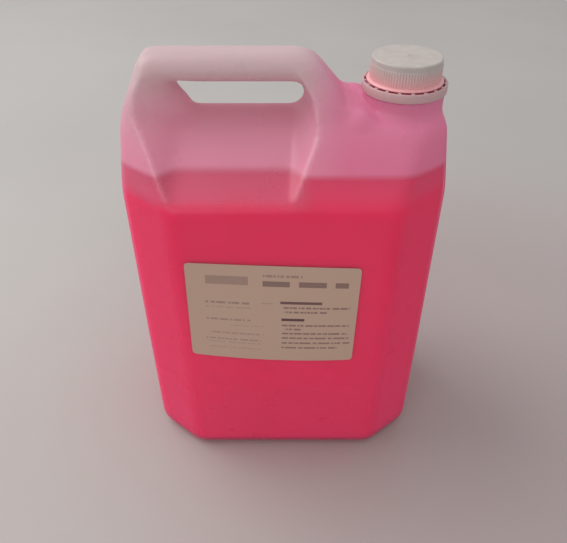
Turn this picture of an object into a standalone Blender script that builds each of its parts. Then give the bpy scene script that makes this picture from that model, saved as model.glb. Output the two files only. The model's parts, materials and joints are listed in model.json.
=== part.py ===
"""Five-litre jerrican of liquid hand soap with its screw cap, tamper ring and front label.

The bottle is a blow-moulded shell: a block with cut corners and leaning shoulders, a hump that carries the handle, and
one scoop on each side of it that meet in the finger slot. Each of these forms is a loft, made once at full size and
once more set in by the wall, so the shell keeps its thickness wherever a size changes.

Metres, Z up, the front towards -Y. The origin is the middle of the footprint, on the ground.
"""

import math

import bmesh
import bpy
from mathutils import Matrix, Vector

MM = 0.001

# Bottle block
BODY_WIDTH = 193 * MM
BODY_DEPTH = 130 * MM
CORNER_WIDTH = 31.5 * MM
CORNER_DEPTH = 25 * MM
CORNER_RADIUS = 14 * MM
BASE_RADIUS = 9 * MM
CREASE_HEIGHT = 212 * MM
CREASE_BLEND = 4 * MM
WALL = 1.3 * MM

# Gap between pieces that touch on the real pack
CLEARANCE = 0.3 * MM

# Shallow push-up in the base
RECESS_MARGIN = 15 * MM
RECESS_DEPTH = 2 * MM

# Shoulder, up from the crease
SHOULDER_RISE = 35 * MM
PLATEAU_DEPTH = 59 * MM
PLATEAU_RADIUS = 6 * MM
CORNER_LEAN = 0.472

# Hump that carries the handle, up from the plateau
HUMP_RISE = 32 * MM
HUMP_BEND_BLEND = 1 * MM
HUMP_ROOT_DEPTH = 16 * MM
CREST_DEPTH = 27 * MM
CREST_RADIUS = 9 * MM
HUMP_CORNER_RADIUS = 8 * MM
HUMP_FOOT_RADIUS = 8 * MM
SLOPE_FOOT_FROM_NECK = 29.7 * MM
SLOPE_WIDTH = 24.7 * MM
POST_LEAN = 0.34
POST_BLEND = 8 * MM

# Finger slot and the scoops that lead into it
BAR_HEIGHT = 15.6 * MM
BAR_MIDDLE_BELOW_TOP = 7.5 * MM
BAR_HALF_DEPTH = 17.2 * MM
FLOOR_SLOPE = math.tan(math.radians(30))
FLOOR_BLEND = 9 * MM
SCOOP_RADIUS = 5 * MM
SLOT_WIDEST_BELOW_BAR_MIDDLE = 14.5 * MM
SLOT_RIGHT_FROM_SLOPE_TOP = 4.6 * MM
SLOT_LEFT_FROM_SIDE = 34.4 * MM
SCOOP_FOOT_RIGHT_SHIFT = 8.4 * MM
SCOOP_FOOT_LEFT_SHIFT = 2.6 * MM
WALL_BLEND = 5 * MM

# Neck, its tamper bead and the collar below
NECK_FROM_SIDE = 25.3 * MM
NECK_RISE = 25.9 * MM
NECK_ROOT_DEPTH = 14 * MM
NECK_RADIUS = 18 * MM
NECK_WALL = 1.8 * MM
NECK_EDGE = 0.6 * MM
THROAT_CHAMFER = 1.5 * MM
COLLAR_RADIUS = 24 * MM
COLLAR_HEIGHT = 10 * MM
BEAD_RADIUS = 22.4 * MM
BEAD_THICKNESS = 1.2 * MM
BEAD_SLOPE_HEIGHT = 1.6 * MM
GROOVE_RADIUS = 19.2 * MM
NECK_SEGMENTS = 56

# Soap, up from the crease
FILL_RISE = 13 * MM

# Screw cap
CAP_TOP_THICKNESS = 1.6 * MM
CAP_RADIUS = 20.9 * MM
CAP_TOP_RADIUS = 20.4 * MM
CAP_WALL = 1.5 * MM
CAP_RIBS = 80
CAP_RIB_DEPTH = 0.35 * MM
CAP_PLAIN_BAND = 3.6 * MM
CAP_EDGE_RADIUS = 1.1 * MM
CAP_INNER_CHAMFER = 1.0 * MM
CAP_SKIRT = 12.8 * MM
FLANGE_RADIUS = 22.6 * MM
FLANGE_HEIGHT = 0.9 * MM
FLANGE_SLOPE_HEIGHT = 0.5 * MM
NUB_RADIUS = 1.5 * MM
NUB_HEIGHT = 0.8 * MM

# Foam liner in the cap
LINER_THICKNESS = 1.5 * MM
LINER_RADIUS = 18.8 * MM

# Tamper ring
RING_RADIUS = 25.2 * MM
RING_WALL = 1.6 * MM
RING_HEIGHT = 5.7 * MM
RING_EDGE = 0.4 * MM
RING_LIP_THICKNESS = 1.6 * MM
RING_LIP_BITE = 1 * MM
RING_BRIDGES = 20
RING_BRIDGE_ANGLE = 4.6
RING_BRIDGE_THICKNESS = 1.2 * MM
RING_BRIDGE_BELOW_TOP = 0.15 * MM

# Label on the front panel
LABEL_WIDTH = 106 * MM
LABEL_HEIGHT = 78.5 * MM
LABEL_THICKNESS = 0.25 * MM
LABEL_RADIUS = 2.5 * MM
LABEL_X = -7.4 * MM
LABEL_BELOW_CREASE = 77 * MM
LABEL_TURN = 2.6

# How much longer than its form a cutter is where it passes an open end
OVERRUN = 10 * MM

ARC_STEPS = 4
HALF_WIDTH = BODY_WIDTH / 2
HALF_DEPTH = BODY_DEPTH / 2
CORNER_ANGLE = math.atan2(CORNER_WIDTH, CORNER_DEPTH)
CORNER_DISTANCE = (HALF_WIDTH - CORNER_WIDTH) * math.cos(CORNER_ANGLE) + HALF_DEPTH * math.sin(CORNER_ANGLE)
PLATEAU_HEIGHT = CREASE_HEIGHT + SHOULDER_RISE
HANDLE_HEIGHT = PLATEAU_HEIGHT + HUMP_RISE
NECK_TOP = PLATEAU_HEIGHT + NECK_RISE
FILL_HEIGHT = CREASE_HEIGHT + FILL_RISE
NECK_X = HALF_WIDTH - NECK_FROM_SIDE
SLOPE_FOOT_X = NECK_X - SLOPE_FOOT_FROM_NECK
SLOPE_TOP_X = SLOPE_FOOT_X - SLOPE_WIDTH
SLOT_RIGHT_X = SLOPE_TOP_X - SLOT_RIGHT_FROM_SLOPE_TOP
SLOT_LEFT_X = SLOT_LEFT_FROM_SIDE - HALF_WIDTH
SCOOP_FOOT_RIGHT_X = SLOT_RIGHT_X - SCOOP_FOOT_RIGHT_SHIFT
SCOOP_FOOT_LEFT_X = SLOT_LEFT_X - SCOOP_FOOT_LEFT_SHIFT
SHOULDER_LEAN = (HALF_DEPTH - PLATEAU_DEPTH / 2) / SHOULDER_RISE
HUMP_LEAN = (PLATEAU_DEPTH - CREST_DEPTH) / 2 / HUMP_RISE
FADE_START_X = SLOPE_FOOT_X + HUMP_FOOT_RADIUS / 8
FADE_END_X = SLOPE_FOOT_X + HUMP_FOOT_RADIUS * 1.5
PLATEAU_HIDDEN = 0.08
SLOPE_RUN = SLOPE_WIDTH / HUMP_RISE
BAR_MIDDLE = HANDLE_HEIGHT - BAR_MIDDLE_BELOW_TOP
SLOT_TOP = BAR_MIDDLE - (BAR_HEIGHT - BAR_MIDDLE_BELOW_TOP)
COLLAR_TOP = PLATEAU_HEIGHT + COLLAR_HEIGHT
RING_BOTTOM = COLLAR_TOP + CLEARANCE
BEAD_BOTTOM = RING_BOTTOM + RING_LIP_THICKNESS + CLEARANCE
LINER_BOTTOM = NECK_TOP + CLEARANCE
CAP_INSIDE_TOP = LINER_BOTTOM + LINER_THICKNESS + CLEARANCE
CAP_TOP = CAP_INSIDE_TOP + CAP_TOP_THICKNESS
CAP_BOTTOM = CAP_INSIDE_TOP - CAP_SKIRT
LABEL_Z = CREASE_HEIGHT - LABEL_BELOW_CREASE

for old in list(bpy.data.objects):
    bpy.data.objects.remove(old, do_unlink=True)


def new_collection(name):
    """Makes a collection in the scene."""
    collection = bpy.data.collections.new(name)
    bpy.context.scene.collection.children.link(collection)
    return collection


PARTS = new_collection("hand_soap_refill_pack")
CUTTERS = new_collection("cutters")


def finish(name, colour, roughness, alpha=1.0):
    """A plain Principled material."""
    material = bpy.data.materials.new(name)
    material.use_nodes = True
    shader = material.node_tree.nodes["Principled BSDF"]
    shader.inputs["Base Color"].default_value = (*colour, 1.0)
    shader.inputs["Roughness"].default_value = roughness
    shader.inputs["Metallic"].default_value = 0.0
    shader.inputs["Alpha"].default_value = alpha
    return material


def new_object(name, mesh, collection=None, location=(0.0, 0.0, 0.0)):
    """Links an object that holds the mesh."""
    thing = bpy.data.objects.new(name, mesh)
    thing.location = location
    (collection or PARTS).objects.link(thing)
    return thing


def as_cutter(thing):
    """Marks a helper solid, so that only what it cuts or joins is part of the model."""
    thing.hide_render = True
    thing.display_type = "WIRE"
    return thing


def boolean(target, operand, operation):
    """Adds a Boolean modifier."""
    modifier = target.modifiers.new(operation.lower() + "_" + operand.name, "BOOLEAN")
    modifier.object = operand
    modifier.operation = operation
    modifier.solver = "EXACT"
    return modifier


def loft(name, rings, collection):
    """A closed solid over rings of as many points each, with a flat cap at both ends."""
    bm = bmesh.new()
    loops = [[bm.verts.new(point) for point in ring] for ring in rings]
    for lower, upper in zip(loops, loops[1:]):
        for i, vert in enumerate(lower):
            following = (i + 1) % len(lower)
            bm.faces.new((vert, lower[following], upper[following], upper[i]))
    bm.faces.new(tuple(reversed(loops[0])))
    bm.faces.new(tuple(loops[-1]))
    bmesh.ops.recalc_face_normals(bm, faces=bm.faces[:])
    mesh = bpy.data.meshes.new(name)
    bm.to_mesh(mesh)
    bm.free()
    mesh.shade_smooth()
    mesh.set_sharp_from_angle(angle=math.radians(35))
    return new_object(name, mesh, collection)


def revolve(name, profile, steps, collection, location=(0.0, 0.0, 0.0)):
    """A Screw solid from a profile of (radius, height) points that run down the outer side."""
    bm = bmesh.new()
    verts = [bm.verts.new((radius, 0.0, height)) for radius, height in profile]
    for upper, lower in zip(verts, verts[1:]):
        bm.edges.new((upper, lower))
    if profile[0][0] > 0 or profile[-1][0] > 0:
        bm.edges.new((verts[-1], verts[0]))
    mesh = bpy.data.meshes.new(name)
    bm.to_mesh(mesh)
    bm.free()
    thing = new_object(name, mesh, collection, location)
    screw = thing.modifiers.new("turn", "SCREW")
    screw.steps = steps
    screw.render_steps = steps
    screw.use_merge_vertices = True
    screw.merge_threshold = 0.00001
    return thing


def slab(name, outline, thickness, collection):
    """A flat mesh plate from a 2D curve, its middle plane on Z = 0."""
    curve = bpy.data.curves.new(name + "_outline", "CURVE")
    curve.dimensions = "2D"
    curve.fill_mode = "BOTH"
    curve.extrude = thickness / 2
    spline = curve.splines.new("POLY")
    spline.points.add(len(outline) - 1)
    for point, (x, y) in zip(spline.points, outline):
        point.co = (x, y, 0.0, 1.0)
    spline.use_cyclic_u = True
    guide = new_object(name + "_outline", curve, CUTTERS)
    mesh = bpy.data.meshes.new_from_object(guide.evaluated_get(bpy.context.evaluated_depsgraph_get()))
    bpy.data.objects.remove(guide, do_unlink=True)
    bm = bmesh.new()
    bm.from_mesh(mesh)
    bmesh.ops.remove_doubles(bm, verts=bm.verts[:], dist=0.000001)
    bmesh.ops.recalc_face_normals(bm, faces=bm.faces[:])
    bm.to_mesh(mesh)
    bm.free()
    mesh.name = name
    return new_object(name, mesh, collection)


def soft_ramp(rise, blend):
    """Zero below the bend and equal to the rise above it, with a smooth bend."""
    if rise <= -blend:
        return 0.0
    if rise >= blend:
        return rise
    return (rise + blend) ** 2 / (4 * blend)


def soft_step(rise, blend):
    """The slope of soft_ramp."""
    return min(max((rise + blend) / (2 * blend), 0.0), 1.0)


def soft_distance(offset, blend):
    """The distance from a middle plane, rounded where both sides meet."""
    if abs(offset) >= blend:
        return abs(offset)
    return (offset * offset + blend * blend) / (2 * blend)


def arc_inset(depth, radius):
    """How far a quarter round of this radius has drawn in, this deep below its end."""
    if depth >= radius:
        return 0.0
    return radius - math.sqrt(max(radius * radius - (radius - depth) ** 2, 0.0))


def clip(polygon, angle, distance):
    """The part of a convex polygon on the near side of a line."""
    nx, ny = math.cos(angle), math.sin(angle)
    kept = []
    for (x0, y0), (x1, y1) in zip(polygon, polygon[1:] + polygon[:1]):
        d0 = nx * x0 + ny * y0 - distance
        d1 = nx * x1 + ny * y1 - distance
        if d0 <= 0:
            kept.append((x0, y0))
        if (d0 < 0 < d1) or (d1 < 0 < d0):
            share = d0 / (d0 - d1)
            kept.append((x0 + share * (x1 - x0), y0 + share * (y1 - y0)))
    return kept


def rounded_section(limits, radius):
    """Points round a convex section bounded by (angle, distance) lines, with rounded corners.

    The points are taken by the direction of the surface, so that every section of a loft has its points in the same
    order, however its flats grow or vanish.
    """
    far = 10 * BODY_WIDTH
    polygon = [(-far, -far), (far, -far), (far, far), (-far, far)]
    for angle, distance in limits:
        polygon = clip(polygon, angle, distance - radius)
    points = []
    ordered = sorted(limits)
    for (start, _), (end, _) in zip(ordered, ordered[1:] + [(ordered[0][0] + 2 * math.pi, 0.0)]):
        for step in range(ARC_STEPS + 1):
            angle = start + 0.001 + (end - start - 0.002) * step / ARC_STEPS
            nx, ny = math.cos(angle), math.sin(angle)
            x, y = max(polygon, key=lambda p: nx * p[0] + ny * p[1])
            points.append((x + radius * nx, y + radius * ny))
    return points


def leaning(distance, slope, inset):
    """A limit moved in by a wall that is measured square to a leaning face."""
    return distance - inset * math.hypot(1.0, slope)


def body_limits(height, inset, right, front_slope_change):
    """The eight lines that bound the bottle at a height."""
    bend = height - CREASE_HEIGHT
    lean = SHOULDER_LEAN * soft_step(bend, CREASE_BLEND)
    front = HALF_DEPTH - SHOULDER_LEAN * soft_ramp(bend, CREASE_BLEND)
    if front_slope_change:
        change = SHOULDER_LEAN - HUMP_LEAN
        front += change * soft_ramp(height - PLATEAU_HEIGHT, HUMP_BEND_BLEND)
        lean -= change * soft_step(height - PLATEAU_HEIGHT, HUMP_BEND_BLEND)
    corner = CORNER_DISTANCE - CORNER_LEAN * soft_ramp(bend, CREASE_BLEND)
    corner_lean = CORNER_LEAN * soft_step(bend, CREASE_BLEND)
    post = height - PLATEAU_HEIGHT
    left = HALF_WIDTH - POST_LEAN * soft_ramp(post, POST_BLEND)
    left_lean = POST_LEAN * soft_step(post, POST_BLEND)
    limits = [(0.0, right), (math.pi, leaning(left, left_lean, inset))]
    limits += [(side * math.pi / 2, leaning(front, lean, inset)) for side in (1, 3)]
    for quarter in (CORNER_ANGLE, math.pi - CORNER_ANGLE, math.pi + CORNER_ANGLE, 2 * math.pi - CORNER_ANGLE):
        limits.append((quarter, leaning(corner, corner_lean, inset)))
    return limits


def drawn_in(limits, amount):
    """The same lines, all moved in."""
    return [(angle, distance - amount) for angle, distance in limits]


def ring_at(height, limits, radius):
    """A level section as points in space."""
    return [(x, y, height) for x, y in rounded_section(limits, radius)]


def plateau_ring(height, limits, radius, pulled):
    """A level section drawn in on the side of the neck only, with the change at the foot of the hump."""
    hidden = drawn_in(limits, PLATEAU_HIDDEN * pulled)
    left = rounded_section(hidden, radius)
    right = rounded_section(drawn_in(limits, pulled), radius)
    mixed = [near if far[0] > SLOPE_FOOT_X else far for near, far in zip(right, left)]
    ring = []
    for start, end in zip(mixed, mixed[1:] + mixed[:1]):
        ring.append((*start, height))
        if (start[0] - SLOPE_FOOT_X) * (end[0] - SLOPE_FOOT_X) < 0:
            towards_left = start[0] > end[0]
            stops = ((FADE_END_X, start[1]), (FADE_START_X, end[1]))
            for x, y in stops if towards_left else ((FADE_START_X, start[1]), (FADE_END_X, end[1])):
                ring.append((x, y, height))
    return ring


def block(name, inset, top=None):
    """The bottle up to its plateau, or up to a level inside it."""
    base_radius = BASE_RADIUS - inset
    top_radius = PLATEAU_RADIUS - inset
    bottom = inset
    roof = PLATEAU_HEIGHT - inset
    heights = [bottom + base_radius * (1 - math.cos(math.radians(a))) for a in (0, 18, 36, 54, 72, 90)]
    heights += [CREASE_HEIGHT + CREASE_BLEND * share for share in (-1.0, -0.5, 0.0, 0.5, 1.0)]
    heights += [roof - top_radius * (1 - math.sin(math.radians(a))) for a in (0, 22, 45, 67, 90)]
    if top is not None:
        heights = [height for height in heights if height < top - WALL / 3] + [top]
    rings = []
    for height in heights:
        limits = body_limits(height, inset, HALF_WIDTH - inset, False)
        limits = drawn_in(limits, arc_inset(height - bottom, base_radius))
        pulled = arc_inset(roof - height, top_radius) if top is None else 0.0
        rings.append(plateau_ring(height, limits, CORNER_RADIUS - inset, pulled))
    return loft(name, rings, CUTTERS)


def foot_shift(rise, run, radius):
    """How far a concave fillet stands out from a slope, at a height above its foot."""
    turn = math.atan2(1.0, run)
    tangent = radius * math.tan(turn / 2)
    if rise >= tangent * math.sin(turn):
        return 0.0
    return tangent - math.sqrt(radius * radius - (radius - rise) ** 2) + run * rise


def hump(name, inset):
    """The hump above the shoulder that the handle is cut from, its root hidden in the block."""
    roof = HANDLE_HEIGHT - inset
    crest_radius = CREST_RADIUS - inset
    foot = PLATEAU_HEIGHT - inset
    root = PLATEAU_HEIGHT - PLATEAU_RADIUS
    slope_shift = inset * math.hypot(1.0, SLOPE_RUN) - inset * SLOPE_RUN
    heights = [root - HUMP_ROOT_DEPTH, root - HUMP_ROOT_DEPTH / 2, root, root + (foot - root) / 2]
    heights += [foot + HUMP_FOOT_RADIUS * share for share in (0.0, 0.05, 0.15, 0.33, 0.58, 1.12, 1.88)]
    heights += [roof - crest_radius * (1 - math.sin(math.radians(a))) for a in (0, 20, 40, 60, 77, 90)]
    rings = []
    for height in heights:
        rise = height - foot
        right = SLOPE_FOOT_X - slope_shift - SLOPE_RUN * rise
        if rise >= 0:
            right += foot_shift(rise, SLOPE_RUN, HUMP_FOOT_RADIUS + inset)
        else:
            right = SLOPE_FOOT_X - slope_shift + 1.5 * rise
        pulled = arc_inset(roof - height, crest_radius)
        hidden = 0.25 * max(root - height, 0.0) + 0.04 * max(PLATEAU_HEIGHT - height, 0.0)
        limits = drawn_in(body_limits(height, inset, right, True), pulled + hidden)
        share = soft_step(height - PLATEAU_HEIGHT, PLATEAU_RADIUS)
        radius = CORNER_RADIUS + (HUMP_CORNER_RADIUS - CORNER_RADIUS) * share
        radius = min(radius, CREST_DEPTH / 2 - pulled - CREST_RADIUS / 90) - inset
        rings.append(ring_at(height, limits, max(radius, CREST_RADIUS / 9)))
    return loft(name, rings, CUTTERS)


def bar_underside(depth, growth):
    """Height of the underside of the handle's bar, this far from its middle plane."""
    half_depth = BAR_HALF_DEPTH - growth
    half_height = BAR_HEIGHT - BAR_MIDDLE_BELOW_TOP - growth
    share = min(abs(depth) / half_depth, 1.0)
    return BAR_MIDDLE - half_height * math.sqrt(1 - share * share)


def wall_limit(run, reach, rate, growth):
    """A scoop wall as an (angle, distance) line for X <= reach + run * Z, in a section across the depth."""
    length = math.hypot(1.0, run)
    return math.atan2(-run, 1.0), (reach + growth * math.hypot(length, rate)) / length


def scoop(name, growth):
    """Both scoops and the slot between them as one solid, grown by a wall where it cuts the inside."""
    crease = HALF_DEPTH
    near = [BAR_HALF_DEPTH * share for share in (0.0, 0.175, 0.35, 0.52, 0.67, 0.785, 0.87, 0.94, 1.0)]
    near += [BAR_HALF_DEPTH + (crease - BAR_HALF_DEPTH) * share for share in (0.06, 0.185, 0.4, 0.7)]
    near += [crease + CLEARANCE, crease + 2.5 * OVERRUN]
    depths = [-depth for depth in reversed(near[1:])] + near
    rings = []
    for depth in depths:
        out = soft_distance(depth, WALL_BLEND)
        floor = CREASE_HEIGHT + FLOOR_SLOPE * (crease - soft_distance(depth, FLOOR_BLEND))
        floor -= growth * math.hypot(1.0, FLOOR_SLOPE)
        roof = bar_underside(depth, growth)
        lower_right = wall_limit(
            1.115, SCOOP_FOOT_RIGHT_X - 0.58 * (crease - out) - 1.115 * CREASE_HEIGHT, 0.58, growth
        )
        right = wall_limit(0.0, SLOT_RIGHT_X - 0.25 * WALL_BLEND / 2 + 0.25 * out, 0.25, growth)
        upper_right = wall_limit(
            -0.47,
            SLOT_RIGHT_X - 0.25 * WALL_BLEND / 2 + 0.25 * out + 0.47 * (BAR_MIDDLE - SLOT_WIDEST_BELOW_BAR_MIDDLE),
            0.25,
            growth,
        )
        left = wall_limit(0.51, -SLOT_LEFT_X - 1.2 * WALL_BLEND / 2 + 1.2 * out - 0.51 * SLOT_TOP, 1.2, growth)
        lower_left = wall_limit(
            1.537, -SCOOP_FOOT_LEFT_X - 0.95 * (crease - out) - 1.537 * CREASE_HEIGHT, 0.95, growth
        )
        limits = [lower_right, right, upper_right, (math.pi / 2, roof), (-math.pi / 2, -floor)]
        limits += [(math.pi - angle, distance) for angle, distance in (left, lower_left)]
        section = rounded_section(limits, SCOOP_RADIUS + growth)
        rings.append([(x, depth, z) for x, z in section])
    return loft(name, rings, CUTTERS)


def base_recess(name, growth):
    """The push-up under the base."""
    rings = []
    for height in (-OVERRUN / 2, RECESS_DEPTH + growth):
        inset = RECESS_MARGIN - growth + height
        limits = body_limits(CREASE_HEIGHT / 2, 0.0, HALF_WIDTH, False)
        rings.append(ring_at(height, drawn_in(limits, inset), CORNER_RADIUS / 2))
    return loft(name, rings, CUTTERS)


def body_form(name, inset, top=None):
    """The bottle's form with its scoops and base recess, whole or up to a level."""
    form = as_cutter(block(name, inset, top))
    if top is None:
        boolean(form, as_cutter(hump(name + "_hump", inset)), "UNION")
    boolean(form, as_cutter(scoop(name + "_scoop", inset)), "DIFFERENCE")
    boolean(form, as_cutter(base_recess(name + "_recess", inset)), "DIFFERENCE")
    return form


def keep(thing, material):
    """Moves a finished piece to the parts' collection and gives it its material."""
    CUTTERS.objects.unlink(thing)
    PARTS.objects.link(thing)
    thing.hide_render = False
    thing.display_type = "TEXTURED"
    thing.data.materials.clear()
    thing.data.materials.append(material)
    return thing


def jerrican(material):
    """The blow-moulded bottle with its handle, neck, collar and tamper bead."""
    bottle = body_form("jerrican_body", 0.0)
    root = PLATEAU_HEIGHT - NECK_ROOT_DEPTH
    neck_profile = [
        (0.0, NECK_TOP),
        (NECK_RADIUS - NECK_EDGE, NECK_TOP),
        (NECK_RADIUS, NECK_TOP - NECK_EDGE),
        (NECK_RADIUS, BEAD_BOTTOM + BEAD_THICKNESS + BEAD_SLOPE_HEIGHT),
        (BEAD_RADIUS, BEAD_BOTTOM + BEAD_THICKNESS),
        (BEAD_RADIUS, BEAD_BOTTOM),
        (GROOVE_RADIUS, BEAD_BOTTOM),
        (GROOVE_RADIUS, COLLAR_TOP),
        (COLLAR_RADIUS - NECK_EDGE, COLLAR_TOP),
        (COLLAR_RADIUS, COLLAR_TOP - NECK_EDGE),
        (COLLAR_RADIUS, root),
        (0.0, root),
    ]
    place = (NECK_X, 0.0, 0.0)
    neck = as_cutter(revolve("neck_form", neck_profile, NECK_SEGMENTS, CUTTERS, place))
    boolean(bottle, neck, "UNION")
    cavity = body_form("cavity", WALL)
    bore = NECK_RADIUS - NECK_WALL
    throat = COLLAR_RADIUS - WALL
    bore_profile = [
        (0.0, NECK_TOP + OVERRUN),
        (bore, NECK_TOP + OVERRUN),
        (bore, COLLAR_TOP + THROAT_CHAMFER / 3),
        (throat - THROAT_CHAMFER, COLLAR_TOP - NECK_WALL),
        (throat, COLLAR_TOP - NECK_WALL - THROAT_CHAMFER),
        (throat, root),
        (0.0, root),
    ]
    inside = as_cutter(revolve("neck_bore_form", bore_profile, NECK_SEGMENTS, CUTTERS, place))
    boolean(cavity, inside, "UNION")
    boolean(bottle, cavity, "DIFFERENCE")
    return keep(bottle, material)


def soap(material):
    """The liquid, which fills the bottle up to a level just over the shoulder crease."""
    return keep(body_form("liquid_soap", WALL + CLEARANCE, FILL_HEIGHT), material)


def ribbed_outline():
    """The cap's skirt seen from below: a circle of fine trapezoid ribs."""
    outline = []
    tip = CAP_RADIUS
    valley = CAP_RADIUS - CAP_RIB_DEPTH
    pitch = 2 * math.pi / CAP_RIBS
    for rib in range(CAP_RIBS):
        for share, radius in ((0.0, valley), (0.3, tip), (0.6, tip), (0.9, valley)):
            angle = (rib + share) * pitch
            outline.append((radius * math.cos(angle), radius * math.sin(angle)))
    return outline


def cap(material):
    """The screw cap: top, plain band and foot flange turned, ribs as one toothed plate, all hollowed from below."""
    place = Vector((NECK_X, 0.0, CAP_BOTTOM))
    height = CAP_TOP - CAP_BOTTOM
    plain = CAP_RADIUS - CAP_RIB_DEPTH
    rib_top = height - CAP_PLAIN_BAND
    edge = CAP_EDGE_RADIUS
    profile = [(0.0, height + NUB_HEIGHT), (NUB_RADIUS * 0.6, height + NUB_HEIGHT * 0.8), (NUB_RADIUS, height)]
    for turn in (90, 60, 30, 0):
        angle = math.radians(turn)
        profile.append(
            (CAP_TOP_RADIUS - edge + edge * math.cos(angle), height - edge + edge * math.sin(angle))
        )
    flange_top = FLANGE_HEIGHT + FLANGE_SLOPE_HEIGHT
    profile += [(plain, rib_top), (plain, flange_top), (FLANGE_RADIUS, FLANGE_HEIGHT), (FLANGE_RADIUS, 0.0), (0.0, 0.0)]
    shell = revolve("screw_cap", profile, 72, CUTTERS, place)
    skirt = as_cutter(slab("cap_ribs", ribbed_outline(), rib_top - FLANGE_HEIGHT / 2, CUTTERS))
    skirt.location = place + Vector((0.0, 0.0, rib_top / 2 + FLANGE_HEIGHT / 4))
    boolean(shell, skirt, "UNION")
    inner = CAP_RADIUS - CAP_WALL
    hollow_profile = [
        (0.0, height - CAP_TOP_THICKNESS),
        (inner - CAP_INNER_CHAMFER * 0.4, height - CAP_TOP_THICKNESS),
        (inner, height - CAP_TOP_THICKNESS - CAP_INNER_CHAMFER),
        (inner, -OVERRUN),
        (0.0, -OVERRUN),
    ]
    hollow = as_cutter(revolve("cap_hollow", hollow_profile, 48, CUTTERS, place))
    boolean(shell, hollow, "DIFFERENCE")
    return keep(shell, material)


def liner(material):
    """The foam wad between the cap's top and the rim of the neck."""
    profile = [(0.0, LINER_THICKNESS), (LINER_RADIUS, LINER_THICKNESS), (LINER_RADIUS, 0.0), (0.0, 0.0)]
    disc = revolve("cap_liner", profile, 48, CUTTERS, (NECK_X, 0.0, LINER_BOTTOM))
    return keep(disc, material)


def bridge_outline(start, inner, outer):
    """One bridge of the tamper ring from above, a short piece of a ring."""
    angles = [start + math.radians(RING_BRIDGE_ANGLE) * share / 3 for share in range(4)]
    outline = [(inner * math.cos(a), inner * math.sin(a)) for a in angles]
    outline += [(outer * math.cos(a), outer * math.sin(a)) for a in reversed(angles)]
    return outline


def tamper_ring(material):
    """The ring left under the cap: a band with a lip under the neck's bead and bridges up to the cap's skirt."""
    place = (NECK_X, 0.0, RING_BOTTOM)
    inner = RING_RADIUS - RING_WALL
    lip = BEAD_RADIUS - RING_LIP_BITE
    profile = [
        (inner, RING_HEIGHT - RING_EDGE),
        (inner + RING_EDGE, RING_HEIGHT),
        (RING_RADIUS - RING_EDGE * 1.25, RING_HEIGHT),
        (RING_RADIUS, RING_HEIGHT - RING_EDGE * 1.25),
        (RING_RADIUS, RING_EDGE),
        (RING_RADIUS - RING_EDGE, 0.0),
        (lip + RING_EDGE, 0.0),
        (lip, RING_EDGE),
        (lip, RING_LIP_THICKNESS),
        (inner, RING_LIP_THICKNESS),
    ]
    band = revolve("tamper_ring", profile, 72, CUTTERS, place)
    reach = FLANGE_RADIUS + CLEARANCE
    pitch = 2 * math.pi / RING_BRIDGES
    for index in range(RING_BRIDGES):
        outline = bridge_outline(index * pitch, reach, inner + RING_WALL / 2)
        bridge = as_cutter(slab(f"bridge_{index + 1:02d}", outline, RING_BRIDGE_THICKNESS, CUTTERS))
        level = RING_BOTTOM + RING_HEIGHT - RING_BRIDGE_BELOW_TOP - RING_BRIDGE_THICKNESS / 2
        bridge.location = (NECK_X, 0.0, level)
        boolean(band, bridge, "UNION")
    return keep(band, material)


def rounded_rectangle(width, height, radius):
    """The outline of a card with rounded corners."""
    outline = []
    for quarter, (sx, sy) in enumerate(((1, 1), (-1, 1), (-1, -1), (1, -1))):
        for step in range(5):
            angle = math.pi / 2 * (quarter + step / 4)
            x = sx * (width / 2 - radius) + radius * math.cos(angle)
            y = sy * (height / 2 - radius) + radius * math.sin(angle)
            outline.append((x, y))
    return outline


def label(material):
    """The paper label, stuck a little askew on the front panel."""
    card = slab("front_label", rounded_rectangle(LABEL_WIDTH, LABEL_HEIGHT, LABEL_RADIUS), LABEL_THICKNESS, CUTTERS)
    upright = Matrix.Rotation(math.radians(LABEL_TURN), 4, "Y") @ Matrix.Rotation(math.pi / 2, 4, "X")
    card.data.transform(upright)
    card.location = (LABEL_X, -HALF_DEPTH - CLEARANCE - LABEL_THICKNESS / 2, LABEL_Z)
    return keep(card, material)


def build():
    """Builds every piece."""
    milky = finish("natural_plastic", (0.86, 0.74, 0.76), 0.35, 0.6)
    pink = finish("pink_soap", (0.85, 0.06, 0.2), 0.15)
    white = finish("white_cap_plastic", (0.85, 0.84, 0.83), 0.4)
    foam = finish("white_foam", (0.9, 0.9, 0.88), 0.8)
    paper = finish("label_paper", (0.82, 0.8, 0.78), 0.6)
    jerrican(milky)
    soap(pink)
    cap(white)
    liner(foam)
    tamper_ring(white)
    label(paper)


build()
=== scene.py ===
"""Looks of a five-litre jerrican of pink hand soap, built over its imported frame.

The bottle's skin, the soap in it, the ribbed cap, the tamper band and the label are modelled here and stand
for their plain solids. The foam wad in the cap keeps its solid and only gets a finish. Metres, Z up, the
front towards -Y.
"""

from __future__ import annotations

import json
import logging
import math
from collections.abc import Callable, Iterator, Sequence
from contextlib import contextmanager
from dataclasses import dataclass
from enum import Enum

import bmesh
import bpy
import numpy as np
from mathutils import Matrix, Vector
from mathutils.kdtree import KDTree

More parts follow.
